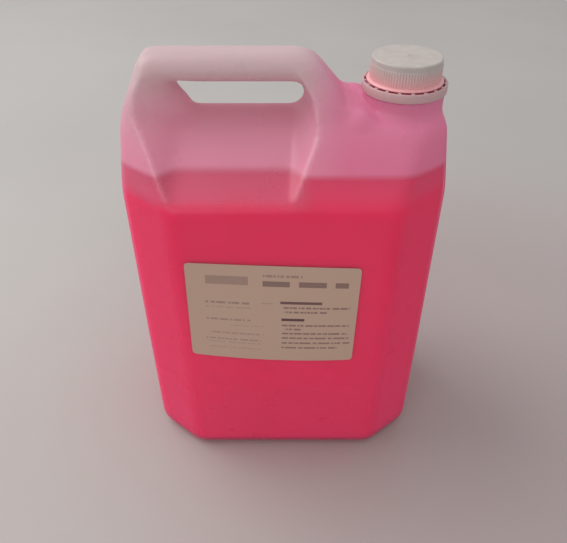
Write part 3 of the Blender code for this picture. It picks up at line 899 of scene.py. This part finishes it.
@dataclass
class Bottle:
    """The blow-moulded skin with its neck, and the soap inside it."""

    swell: Swell
    trim: Trim
    wall: float = 1.3 * MM
    gap: float = 0.3 * MM
    fill: float = 225 * MM
    voxel: float = 2.15 * MM
    smoothing: int = 7
    last_smoothing: int = 2
    hold: float = 0.57
    ridge_angle: float = 24.0
    ridge_foot: float = 213.5 * MM
    ridge_round: float = 6 * MM
    ridge_side: float = 30 * MM
    post_side: float = -70 * MM
    post_foot: float = 250.5 * MM
    # Width of the mask for the painted highlight along the scoops' rims.
    ridge_width: float = 1.6 * MM
    ridge_step: float = 0.3 * MM
    sharpest_bend: float = 22.0
    bend_spread: int = 4
    bend_keep: float = 0.4
    neck_x: float = 71.2 * MM
    neck_top: float = 272.9 * MM
    neck_radius: float = 18 * MM
    neck_wall: float = 1.8 * MM
    collar_radius: float = 24 * MM
    collar_cut: float = 256.4 * MM
    collar_foot: float = 250.5 * MM
    collar_band: float = 2 * MM
    draw_up: float = 8 * MM
    collar_top: float = 257 * MM
    throat: float = 255.2 * MM
    neck_steps: int = 96
    groove_radius: float = 19.2 * MM
    bead_radius: float = 22.4 * MM
    bead_bottom: float = 259.2 * MM
    pitch: float = 4.2 * MM
    thread_depth: float = 1.2 * MM
    thread_turns: float = 1.7
    thread_start: float = 264 * MM
    thread_root: float = 17.7 * MM
    steps_per_turn: int = 64
    run_out: float = 0.6

    def from_axis(self, point: Vector) -> float:
        """Distance of a point from the neck's axis."""
        return math.hypot(point.x - self.neck_x, point.y)

    def form(self) -> Piece:
        """The bottle's outside as one smooth solid, sharp outlines held, its collar drawn up past the cut.

        Returns:
            The closed form.
        """
        form = copy_of(frame["nodes"]["jerrican_body"], "bottle_form")
        with editing(form, whole=True):
            bpy.ops.mesh.remove_doubles(threshold=0.01 * MM)
            choose(
                form,
                lambda face: face.calc_center_median().z > self.collar_cut + 0.01 * MM
                and self.from_axis(face.calc_center_median()) < self.collar_radius + 1 * MM,
            )
            bpy.ops.mesh.delete(type="FACE")
        with editing(form, "VERT"):
            lowest = min(vert.co.z for vert in form.data.vertices)
            choose(form, lambda vert: vert.co.z < lowest + 0.001 * MM, "verts")
            bpy.ops.mesh.select_linked()
            bpy.ops.mesh.select_all(action="INVERT")
            bpy.ops.mesh.delete(type="VERT")
        with editing(form, "EDGE"):
            choose(form, lambda edge: edge.is_boundary, "edges")
            bpy.ops.mesh.extrude_edges_move(TRANSFORM_OT_translate={"value": (0.0, 0.0, self.draw_up)})
            bpy.ops.mesh.edge_face_add()
        self.ridges = self.find_ridges(form)
        modify(form, "REMESH", mode="VOXEL", voxel_size=self.voxel, use_smooth_shade=True)
        points = points_of(form)
        loose = form.vertex_groups.new(name="loose")
        for index, point in enumerate(points):
            spot, _, away = self.ridges.find(point)
            if away < self.voxel * self.hold:
                points[index] = spot
            else:
                loose.add([index], 1.0, "REPLACE")
        put_points(form, points)
        modify(form, "SMOOTH", factor=0.5, iterations=self.smoothing, vertex_group="loose")
        modify(form, "SMOOTH", factor=0.5, iterations=self.last_smoothing)
        form.vertex_groups.clear()
        points = self.trim.apply(self.swell.apply(points_of(form)))
        across = points[:, :2] - (self.neck_x, 0.0)
        reach = np.hypot(*across.T)
        collar = (points[:, 2] > self.collar_foot) & (np.abs(reach - self.collar_radius) < self.collar_band)
        points[collar, :2] = (self.neck_x, 0.0) + across[collar] / reach[collar, None] * self.collar_radius
        put_points(form, points)
        return form

    def find_ridges(self, form: Piece) -> KDTree:
        """The scoops' sharp outlines, as closely spaced points.

        Args:
            form: The bottle's outside, not yet remeshed.

        Returns:
            The points, ready to be searched.
        """
        shape = bmesh.new()
        shape.from_mesh(form.data)
        shape.normal_update()
        spots: list[Vector] = []
        for edge in shape.edges:
            first, last = (vert.co.copy() for vert in edge.verts)
            low = min(first.z, last.z) < self.ridge_foot
            if len(edge.link_faces) != 2 or low or first.x > self.ridge_side:
                continue
            if first.x < self.post_side and first.z > self.post_foot:
                continue
            if edge.calc_face_angle_signed(0.0) > math.radians(self.ridge_angle):
                steps = int((last - first).length / self.ridge_step) + 1
                spots += [first.lerp(last, step / steps) for step in range(steps + 1)]
        shape.free()
        plain = tree_of(spots)
        rounded = []
        for spot in spots:
            near = [other for other, _, _ in plain.find_range(spot, self.ridge_round)]
            rounded.append(sum(near, Vector()) / len(near))
        return tree_of(rounded)

    def mark_corners(self, form: Piece) -> None:
        """Stores on each point how strongly the skin bends out, as corner, and how near it lies to the
        scoops' rims, as ridge, the mask of a painted highlight.

        Args:
            form: The skin.
        """
        mesh = form.data
        points = points_of(form)
        normals = np.empty(points.size)
        mesh.vertices.foreach_get("normal", normals)
        normals = normals.reshape(-1, 3)
        ends = np.empty(len(mesh.edges) * 2, dtype=int)
        mesh.edges.foreach_get("vertices", ends)
        ends = ends.reshape(-1, 2)
        count = np.maximum(np.bincount(ends.ravel(), minlength=len(points)), 1)
        way = points[ends[:, 0]] - points[ends[:, 1]]
        length = (way**2).sum(1) + 1e-12
        bend = np.bincount(ends[:, 0], (way * normals[ends[:, 0]]).sum(1) / length, len(points))
        bend += np.bincount(ends[:, 1], (-way * normals[ends[:, 1]]).sum(1) / length, len(points))
        bend = np.clip(bend / count / self.sharpest_bend, 0.0, 1.0)
        for _ in range(self.bend_spread):
            spread = np.bincount(ends[:, 0], bend[ends[:, 1]], len(points))
            spread += np.bincount(ends[:, 1], bend[ends[:, 0]], len(points))
            bend = self.bend_keep * bend + (1 - self.bend_keep) * spread / count
        # Nearness to the scoops' rims: the mask for the painted highlight in the plastic's material.
        away = np.array([self.ridges.find(point)[2] for point in points])
        ridge = np.exp(-((away / self.ridge_width) ** 2))
        for name, values in (("corner", bend), ("ridge", ridge)):
            layer = mesh.attributes.new(name, "FLOAT", "POINT")
            layer.data.foreach_set("value", values.astype(np.float32))

    def neck(self) -> Piece:
        """The neck from the collar's top up: groove, tamper bead, plain land and rolled rim.

        Returns:
            The neck, open at both ends.
        """
        bore = self.neck_radius - self.neck_wall
        outline = [
            (self.collar_radius, self.collar_cut + 0.2 * MM),
            (self.collar_radius - 0.6 * MM, self.collar_top),
            (self.groove_radius, self.collar_top),
            (self.groove_radius, self.bead_bottom),
            (self.bead_radius - 0.2 * MM, self.bead_bottom),
            (self.bead_radius, self.bead_bottom + 0.3 * MM),
            (self.bead_radius, self.bead_bottom + 1.2 * MM),
            (self.neck_radius + 0.6 * MM, self.bead_bottom + 2.4 * MM),
            (self.neck_radius, self.bead_bottom + 2.8 * MM),
            (self.neck_radius, self.neck_top - 0.6 * MM),
            (self.neck_radius - 0.3 * MM, self.neck_top - 0.15 * MM),
            (self.neck_radius - 0.7 * MM, self.neck_top),
            (bore + 0.5 * MM, self.neck_top),
            (bore + 0.1 * MM, self.neck_top - 0.3 * MM),
            (bore, self.neck_top - 0.8 * MM),
            (bore, self.throat + 0.4 * MM),
            (bore + 1.0 * MM, self.throat),
            (self.collar_radius - self.wall - 1.5 * MM, self.throat),
            (self.collar_radius - self.wall, self.throat - 1.2 * MM),
        ]
        return turned("neck_finish", outline, self.neck_steps, (self.neck_x, 0.0))

    def skin(self, form: Piece) -> Piece:
        """The hollow bottle: the form cut open at the collar, given its wall and joined to the neck.

        Args:
            form: The bottle's outside.

        Returns:
            The skin.
        """
        skin = copy_of(form, "bottle_shell")
        cut = self.collar_cut
        with editing(skin):
            choose(
                skin,
                lambda face: self.from_axis(face.calc_center_median()) < self.collar_radius + 2 * MM
                and face.calc_center_median().z > self.collar_foot,
            )
            bpy.ops.mesh.bisect(plane_co=(self.neck_x, 0.0, cut), plane_no=(0.0, 0.0, 1.0), clear_outer=True)
        self.mark_corners(skin)
        modify(skin, "SOLIDIFY", thickness=self.wall, offset=-1.0, use_rim=True)
        neck = self.neck()
        with editing(skin):
            choose(
                skin,
                lambda face: abs(face.calc_center_median().z - cut) < 0.02 * MM and abs(face.normal.z) > 0.9,
            )
            bpy.ops.mesh.delete(type="ONLY_FACE")
        join(skin, neck)
        with editing(skin, "EDGE"):
            middle = self.collar_radius - self.wall / 2
            for outer in (True, False):
                choose(
                    skin,
                    lambda edge: edge.is_boundary
                    and (self.from_axis((edge.verts[0].co + edge.verts[1].co) / 2) > middle) == outer,
                    "edges",
                )
                bpy.ops.mesh.bridge_edge_loops()
        outward(skin)
        return skin

    def thread(self, name: str, root: float, tip: float, start: float, turns: float) -> Piece:
        """One screw thread on the neck's axis.

        Args:
            name: The new object's name.
            root: Radius where the thread grows from the wall.
            tip: Radius of its crest.
            start: Height where it starts.
            turns: How many turns it makes.

        Returns:
            The thread, its ends run out to nothing.
        """
        bpy.ops.object.select_all(action="DESELECT")
        bpy.ops.mesh.primitive_plane_add(size=1.0, location=(0.0, 0.0, 0.0))
        thread = bpy.context.object
        thread.name = name
        places = [(root, -0.75 * MM), (tip, -0.3 * MM), (root, 0.75 * MM), (tip, 0.3 * MM)]
        for vert, (radius, height) in zip(thread.data.vertices, places):
            vert.co = (radius, 0.0, height)
        with editing(thread, whole=True):
            bpy.ops.mesh.delete(type="ONLY_FACE")
        total = 2 * math.pi * turns
        steps = int(self.steps_per_turn * turns)
        modify(
            thread,
            "SCREW",
            angle=total,
            screw_offset=self.pitch * turns,
            steps=steps,
            render_steps=steps,
            use_merge_vertices=False,
        )
        points = points_of(thread)
        turn = np.arctan2(points[:, 1], points[:, 0])
        laps = np.round((points[:, 2] / self.pitch * 2 * math.pi - turn) / (2 * math.pi))
        along = laps * 2 * math.pi + turn
        fade = ramp(np.minimum(along, total - along), 0.0, self.run_out)
        reach = np.hypot(points[:, 0], points[:, 1])
        wanted = root + (reach - root) * fade
        points[:, :2] *= (wanted / reach)[:, None]
        points += (self.neck_x, 0.0, start)
        put_points(thread, points)
        close_ends(thread)
        outward(thread)
        return thread

    def soap(self, form: Piece) -> Piece:
        """The soap: the form moved in by the wall, cut level and closed.

        Args:
            form: The bottle's outside.

        Returns:
            The soap.
        """
        soap = copy_of(form, "soap_fill")
        modify(soap, "DISPLACE", strength=-(self.wall + self.gap), mid_level=0.0, direction="NORMAL")
        level, up = (0.0, 0.0, self.fill), (0.0, 0.0, 1.0)
        with editing(soap, whole=True):
            bpy.ops.mesh.bisect(plane_co=level, plane_no=up, clear_outer=True, use_fill=True)
        outward(soap)
        settle(soap, 60.0)
        return soap

    def build(self) -> list[Piece]:
        """Makes and dresses the skin and the soap.

        Returns:
            Both of them.
        """
        form = self.form()
        soap = self.soap(form)
        skin = self.skin(form)
        bpy.data.objects.remove(form, do_unlink=True)
        tip = self.neck_radius + self.thread_depth
        join(skin, self.thread("neck_thread", self.thread_root, tip, self.thread_start, self.thread_turns))
        settle(skin)
        dress(skin, NaturalPlastic().build())
        dress(soap, PinkSoap().build())
        enlist(skin, Place.PACK, Slot.NATURAL, "jerrican_body")
        enlist(soap, Place.PACK, Slot.SOAP, "liquid_soap")
        return [skin, soap]


@dataclass
class Cap:
    """The ribbed screw cap with its inner thread, and the foam wad in it."""

    bottle: Bottle
    radius: float = 20.9 * MM
    top_radius: float = 20.4 * MM
    rib_depth: float = 0.4 * MM
    rib_fade: float = 0.6 * MM
    rib_foot: float = 2.2 * MM
    rib_steep: float = 1.9
    rib_gap: float = 0.45
    ribs: int = 80
    points_per_rib: int = 6
    bottom: float = 262.2 * MM
    top: float = 276.6 * MM
    plain_band: float = 3.4 * MM
    wall: float = 1.5 * MM
    edge: float = 1.1 * MM
    roof: float = 275.0 * MM
    flange: float = 22.6 * MM
    nub_radius: float = 1.5 * MM
    nub_height: float = 0.45 * MM
    thread_depth: float = 1.1 * MM
    thread_start: float = 266.1 * MM
    thread_turns: float = 1.5

    def outline(self) -> list[Pair]:
        """The cap's outline from the middle of the top, down the skirt, and back up inside.

        Returns:
            Points as (radius, height).
        """
        plain = self.radius - self.rib_depth
        inner = self.radius - self.wall
        points = [
            (0.3 * MM, self.top + self.nub_height),
            (0.7 * MM, self.top + self.nub_height * 0.95),
            (1.1 * MM, self.top + self.nub_height * 0.75),
            (self.nub_radius, self.top + self.nub_height * 0.4),
            (self.nub_radius + 0.15 * MM, self.top + 0.05 * MM),
            (self.nub_radius + 0.5 * MM, self.top),
            (self.top_radius * 0.55, self.top - 0.08 * MM),
            (self.top_radius - self.edge - 0.8 * MM, self.top),
        ]
        for turn in (90, 72, 54, 36, 18, 0):
            angle = math.radians(turn)
            radius = self.top_radius - self.edge + self.edge * math.cos(angle)
            points.append((radius, self.top - self.edge + self.edge * math.sin(angle)))
        band, foot, lip = self.top - self.plain_band, self.bottom, self.flange
        points += [(plain, band + rise * MM) for rise in (0.5, 0.0, -0.25, -0.6)]
        points += [(plain, foot + 4 * MM), (plain, foot + 2.3 * MM), (plain + 0.3 * MM, foot + 1.9 * MM)]
        points += [(lip - 0.3 * MM, foot + 1.35 * MM), (lip, foot + 1.1 * MM), (lip, foot + 0.75 * MM)]
        points += [(lip - 0.2 * MM, foot + 0.55 * MM), (plain + 0.3 * MM, foot + 0.5 * MM)]
        points += [(plain + 0.1 * MM, foot + 0.2 * MM), (plain - 0.1 * MM, foot), (inner + 0.3 * MM, foot)]
        points += [(inner, foot + 0.4 * MM), (inner, self.roof - 1.0 * MM)]
        points += [(inner - 0.3 * MM, self.roof - 0.3 * MM), (inner - 1.0 * MM, self.roof)]
        points.append((0.5 * MM, self.roof))
        return points

    def cut_ribs(self, cap: Piece) -> None:
        """Draws the skirt's points out into ribs that run out softly at the plain band.

        Args:
            cap: The turned cap.
        """
        points = points_of(cap)
        across = points[:, :2] - (self.bottle.neck_x, 0.0)
        reach = np.hypot(*across.T)
        turn = np.arctan2(across[:, 1], across[:, 0]) / (2 * math.pi) * self.ribs
        phase = turn - np.floor(turn)
        crest = np.clip(np.sin(math.pi * phase) * self.rib_steep - self.rib_gap, 0.0, 1.0)
        band = self.top - self.plain_band
        fade = ramp(points[:, 2], band, band - self.rib_fade)
        skirt = (np.abs(reach - self.radius + self.rib_depth) < 0.05 * MM) & (points[:, 2] < band)
        skirt &= points[:, 2] > self.bottom + self.rib_foot
        wanted = np.where(skirt, reach + self.rib_depth * crest * fade, reach)
        points[:, :2] = (self.bottle.neck_x, 0.0) + across * (wanted / np.maximum(reach, 1e-9))[:, None]
        put_points(cap, points)

    def build(self) -> list[Piece]:
        """Makes and dresses the cap, and gives the wad its finish.

        Returns:
            The cap and the wad.
        """
        steps = self.ribs * self.points_per_rib
        cap = turned("ribbed_cap", self.outline(), steps, (self.bottle.neck_x, 0.0))
        self.cut_ribs(cap)
        close_ends(cap)
        outward(cap)
        inner = self.radius - self.wall
        tip = inner - self.thread_depth
        thread = self.bottle.thread("cap_thread", inner + 0.3 * MM, tip, self.thread_start, self.thread_turns)
        join(cap, thread)
        settle(cap)
        dress(cap, WhitePlastic().build())
        enlist(cap, Place.CAP, Slot.WHITE, "screw_cap")
        wad = frame["nodes"]["cap_liner"]
        dress(wad, Foam().build())
        return [cap, wad]


@dataclass
class TamperBand:
    """The band left under the cap, with its row of bridges."""

    bottle: Bottle
    radius: float = 25.2 * MM
    wall: float = 1.6 * MM
    bottom: float = 257.3 * MM
    height: float = 5.15 * MM
    lip_radius: float = 21.4 * MM
    lip_thickness: float = 1.6 * MM
    bridges: int = 20
    bridge_angle: float = 4.6
    bridge_thickness: float = 1.3 * MM
    bridge_rise: float = 0.45 * MM
    bridge_reach: float = 22.9 * MM
    bridge_edge: float = 0.15 * MM
    steps: int = 144
    # Painted glow: the soap's pink light on the band's foot, laid on its white plastic.
    glow: Colour = (0.62, 0.34, 0.365)
    glow_share: float = 0.7

    def band(self) -> Piece:
        """The turned band with its lip under the neck's bead.

        Returns:
            The band.
        """
        inner = self.radius - self.wall
        top = self.bottom + self.height
        outline = [
            (inner, top - 0.4 * MM),
            (inner + 0.12 * MM, top - 0.12 * MM),
            (inner + 0.4 * MM, top),
            (self.radius - 0.55 * MM, top),
            (self.radius - 0.16 * MM, top - 0.16 * MM),
            (self.radius, top - 0.55 * MM),
            (self.radius, self.bottom + 0.4 * MM),
            (self.radius - 0.12 * MM, self.bottom + 0.12 * MM),
            (self.radius - 0.4 * MM, self.bottom),
            (self.lip_radius + 0.4 * MM, self.bottom),
            (self.lip_radius, self.bottom + 0.4 * MM),
            (self.lip_radius, self.bottom + self.lip_thickness),
            (inner, self.bottom + self.lip_thickness),
            (inner, top - 0.4 * MM),
        ]
        band = turned("tamper_band", outline, self.steps, (self.bottle.neck_x, 0.0))
        outward(band)
        return band

    def bridge(self, index: int) -> Piece:
        """One bridge, a small block bent round the band and bevelled.

        Args:
            index: Its number along the band.

        Returns:
            The bridge.
        """
        top = self.bottom + self.height + self.bridge_rise
        bpy.ops.object.select_all(action="DESELECT")
        bpy.ops.mesh.primitive_cube_add(size=1.0)
        block = bpy.context.object
        block.name = f"bridge_{index + 1:02d}"
        start = 2 * math.pi * index / self.bridges
        with editing(block, "EDGE"):
            choose(block, lambda edge: abs((edge.verts[0].co - edge.verts[1].co).y) > 0.5, "edges")
            bpy.ops.mesh.subdivide(number_cuts=2)
        points = points_of(block)
        inner = self.bridge_reach
        outer = self.radius - self.wall / 2
        reach = inner + (points[:, 0] + 0.5) * (outer - inner)
        turn = start + (points[:, 1] + 0.5) * math.radians(self.bridge_angle)
        height = top + (points[:, 2] - 0.5) * self.bridge_thickness
        x, y = self.bottle.neck_x + reach * np.cos(turn), reach * np.sin(turn)
        put_points(block, np.stack((x, y, height), axis=1))
        outward(block)
        modify(block, "BEVEL", width=self.bridge_edge, segments=2, limit_method="ANGLE")
        return block

    def build(self) -> list[Piece]:
        """Makes and dresses the band.

        Returns:
            The band.
        """
        band = self.band()
        join(band, *(self.bridge(index) for index in range(self.bridges)))
        settle(band)
        finish = WhitePlastic(name="white_band_plastic", glow=self.glow, glow_share=self.glow_share)
        dress(band, finish.build())
        enlist(band, Place.PACK, Slot.WHITE, "tamper_ring")
        return [band]


@dataclass
class Label:
    """The paper label, which follows the swell of the front panel."""

    swell: Swell
    width: float = 106 * MM
    height: float = 75.2 * MM
    thickness: float = 0.2 * MM
    corner: float = 2.5 * MM
    middle_x: float = -6.9 * MM
    middle_z: float = 137.0 * MM
    turn: float = 2.3
    lean: float = 1.1
    panel: float = -65 * MM
    gap: float = 0.12 * MM
    columns: int = 26
    rows: int = 18

    def build(self) -> list[Piece]:
        """Makes and dresses the label.

        Returns:
            The label.
        """
        bpy.ops.object.select_all(action="DESELECT")
        bpy.ops.mesh.primitive_plane_add(size=1.0)
        card = bpy.context.object
        card.name = "paper_label"
        card.scale = (self.width, self.height, 1.0)
        apply_place(card)
        with editing(card, "VERT", whole=True):
            bpy.ops.mesh.bevel(offset=self.corner, segments=5, affect="VERTICES")
        with editing(card):
            for axis, size, count in ((0, self.width, self.columns), (1, self.height, self.rows)):
                for step in range(1, count):
                    spot, way = [0.0, 0.0, 0.0], [0.0, 0.0, 0.0]
                    spot[axis] = size * (step / count - 0.5)
                    way[axis] = 1.0
                    bpy.ops.mesh.select_all(action="SELECT")
                    bpy.ops.mesh.bisect(plane_co=spot, plane_no=way)
        layer = card.data.uv_layers.new(name="print")
        for loop in card.data.loops:
            flat = card.data.vertices[loop.vertex_index].co
            layer.data[loop.index].uv = (flat.x / self.width + 0.5, flat.y / self.height + 0.5)
        points = points_of(card)
        along, up = math.radians(self.turn), math.radians(self.lean)
        x = self.middle_x + points[:, 0] * math.cos(along) + points[:, 1] * math.sin(up)
        z = self.middle_z - points[:, 0] * math.sin(along) + points[:, 1] * math.cos(up)
        out = self.swell.front * self.swell.rise(x, z, self.swell.front_half)
        put_points(card, np.stack((x, self.panel - self.gap - out, z), axis=1))
        with editing(card, whole=True):
            shape = bmesh.from_edit_mesh(card.data)
            shape.normal_update()
            if sum(face.normal.y for face in shape.faces) > 0:
                bpy.ops.mesh.flip_normals()
        modify(card, "SOLIDIFY", thickness=self.thickness, offset=1.0, use_rim=True)
        settle(card, 50.0)
        dress(card, LabelPaper().build())
        enlist(card, Place.PACK, Slot.PAPER, "front_label")
        return [card]


@dataclass
class Studio:
    """The table, the soft light from the upper left, and the camera."""

    camera_place: Spot = (-0.0001, -0.3453, 0.3886)
    camera_pitch: float = 52.04
    lens: float = 37.76
    aim: Spot = (0.0, 0.0, 0.1)
    table: float = 8.0
    sky: Colour = (0.98, 0.97, 0.96)
    sky_dark: float = 0.48
    sky_light: float = 0.78
    sky_side: Spot = (-0.58, -0.25, 0.62)
    key_place: Spot = (-1.2, 0.5, 1.6)
    key_size: float = 1.5
    key_colour: Colour = (1.0, 0.98, 0.95)
    key_power: float = 21.0
    side_place: Spot = (-0.6, -1.3, 0.8)
    side_size: float = 0.9
    side_colour: Colour = (1.0, 0.98, 0.96)
    side_power: float = 1.6

    def floor(self) -> Piece:
        """The table top.

        Returns:
            The table.
        """
        bpy.ops.object.select_all(action="DESELECT")
        bpy.ops.mesh.primitive_plane_add(size=self.table, location=(0.0, 0.0, 0.0))
        floor = bpy.context.object
        floor.name = "table_top"
        with editing(floor, whole=True):
            bpy.ops.mesh.subdivide(number_cuts=8)
        dress(floor, TableTop().build())
        return floor

    def light(self, name: str, place: Spot, size: float, power: float, colour: Colour) -> None:
        """A square soft lamp that faces the pack.

        Args:
            name: The lamp's name.
            place: Where it hangs.
            size: Its side in metres.
            power: Its power in watts.
            colour: Its colour.
        """
        lamp = bpy.data.lights.new(name, "AREA")
        lamp.size = size
        lamp.energy = power
        lamp.color = colour
        thing = bpy.data.objects.new(name, lamp)
        thing.location = place
        way = Vector(self.aim) - Vector(place)
        thing.rotation_euler = way.to_track_quat("-Z", "Y").to_euler()
        bpy.context.scene.collection.objects.link(thing)

    def camera(self) -> None:
        """The camera at the photograph's angle."""
        data = bpy.data.cameras.new("camera")
        data.lens = self.lens
        data.sensor_width = 36.0
        thing = bpy.data.objects.new("camera", data)
        thing.location = self.camera_place
        thing.rotation_euler = (math.radians(self.camera_pitch), 0.0, 0.0)
        bpy.context.scene.collection.objects.link(thing)
        bpy.context.scene.camera = thing

    def world(self) -> None:
        """The sky, lighter towards the side that the light comes from."""
        world = bpy.data.worlds.new("soft_sky")
        bpy.context.scene.world = world
        world.use_nodes = True
        tree = world.node_tree
        background = tree.nodes["Background"]
        background.inputs["Color"].default_value = (*self.sky, 1.0)
        towards = tree.nodes.new("ShaderNodeVectorMath")
        towards.operation = "DOT_PRODUCT"
        towards.inputs[1].default_value = self.sky_side
        spread = tree.nodes.new("ShaderNodeMapRange")
        for name, value in (("From Min", -1.0), ("To Min", self.sky_dark), ("To Max", self.sky_light)):
            spread.inputs[name].default_value = value
        tree.links.new(tree.nodes.new("ShaderNodeTexCoord").outputs["Object"], towards.inputs[0])
        tree.links.new(towards.outputs["Value"], spread.inputs["Value"])
        tree.links.new(spread.outputs[0], background.inputs["Strength"])

    def build(self) -> list[Piece]:
        """Sets the stage.

        Returns:
            The table.
        """
        bpy.context.scene.view_settings.view_transform = "Standard"
        self.world()
        self.camera()
        floor = self.floor()
        self.light("window", self.key_place, self.key_size, self.key_power, self.key_colour)
        self.light("side_window", self.side_place, self.side_size, self.side_power, self.side_colour)
        return [floor]


def main() -> None:
    """Builds the pack piece by piece and reports each one."""
    logging.basicConfig(level=logging.INFO, format="%(name)s %(message)s")
    swell = Swell()
    bottle = Bottle(swell, Trim())
    for maker in (Studio(), bottle, Cap(bottle), TamperBand(bottle), Label(swell)):
        for piece in maker.build():
            LOG.info("%s: %d triangles", piece.name, triangles_of(piece))


if __name__ == "__main__":
    main()
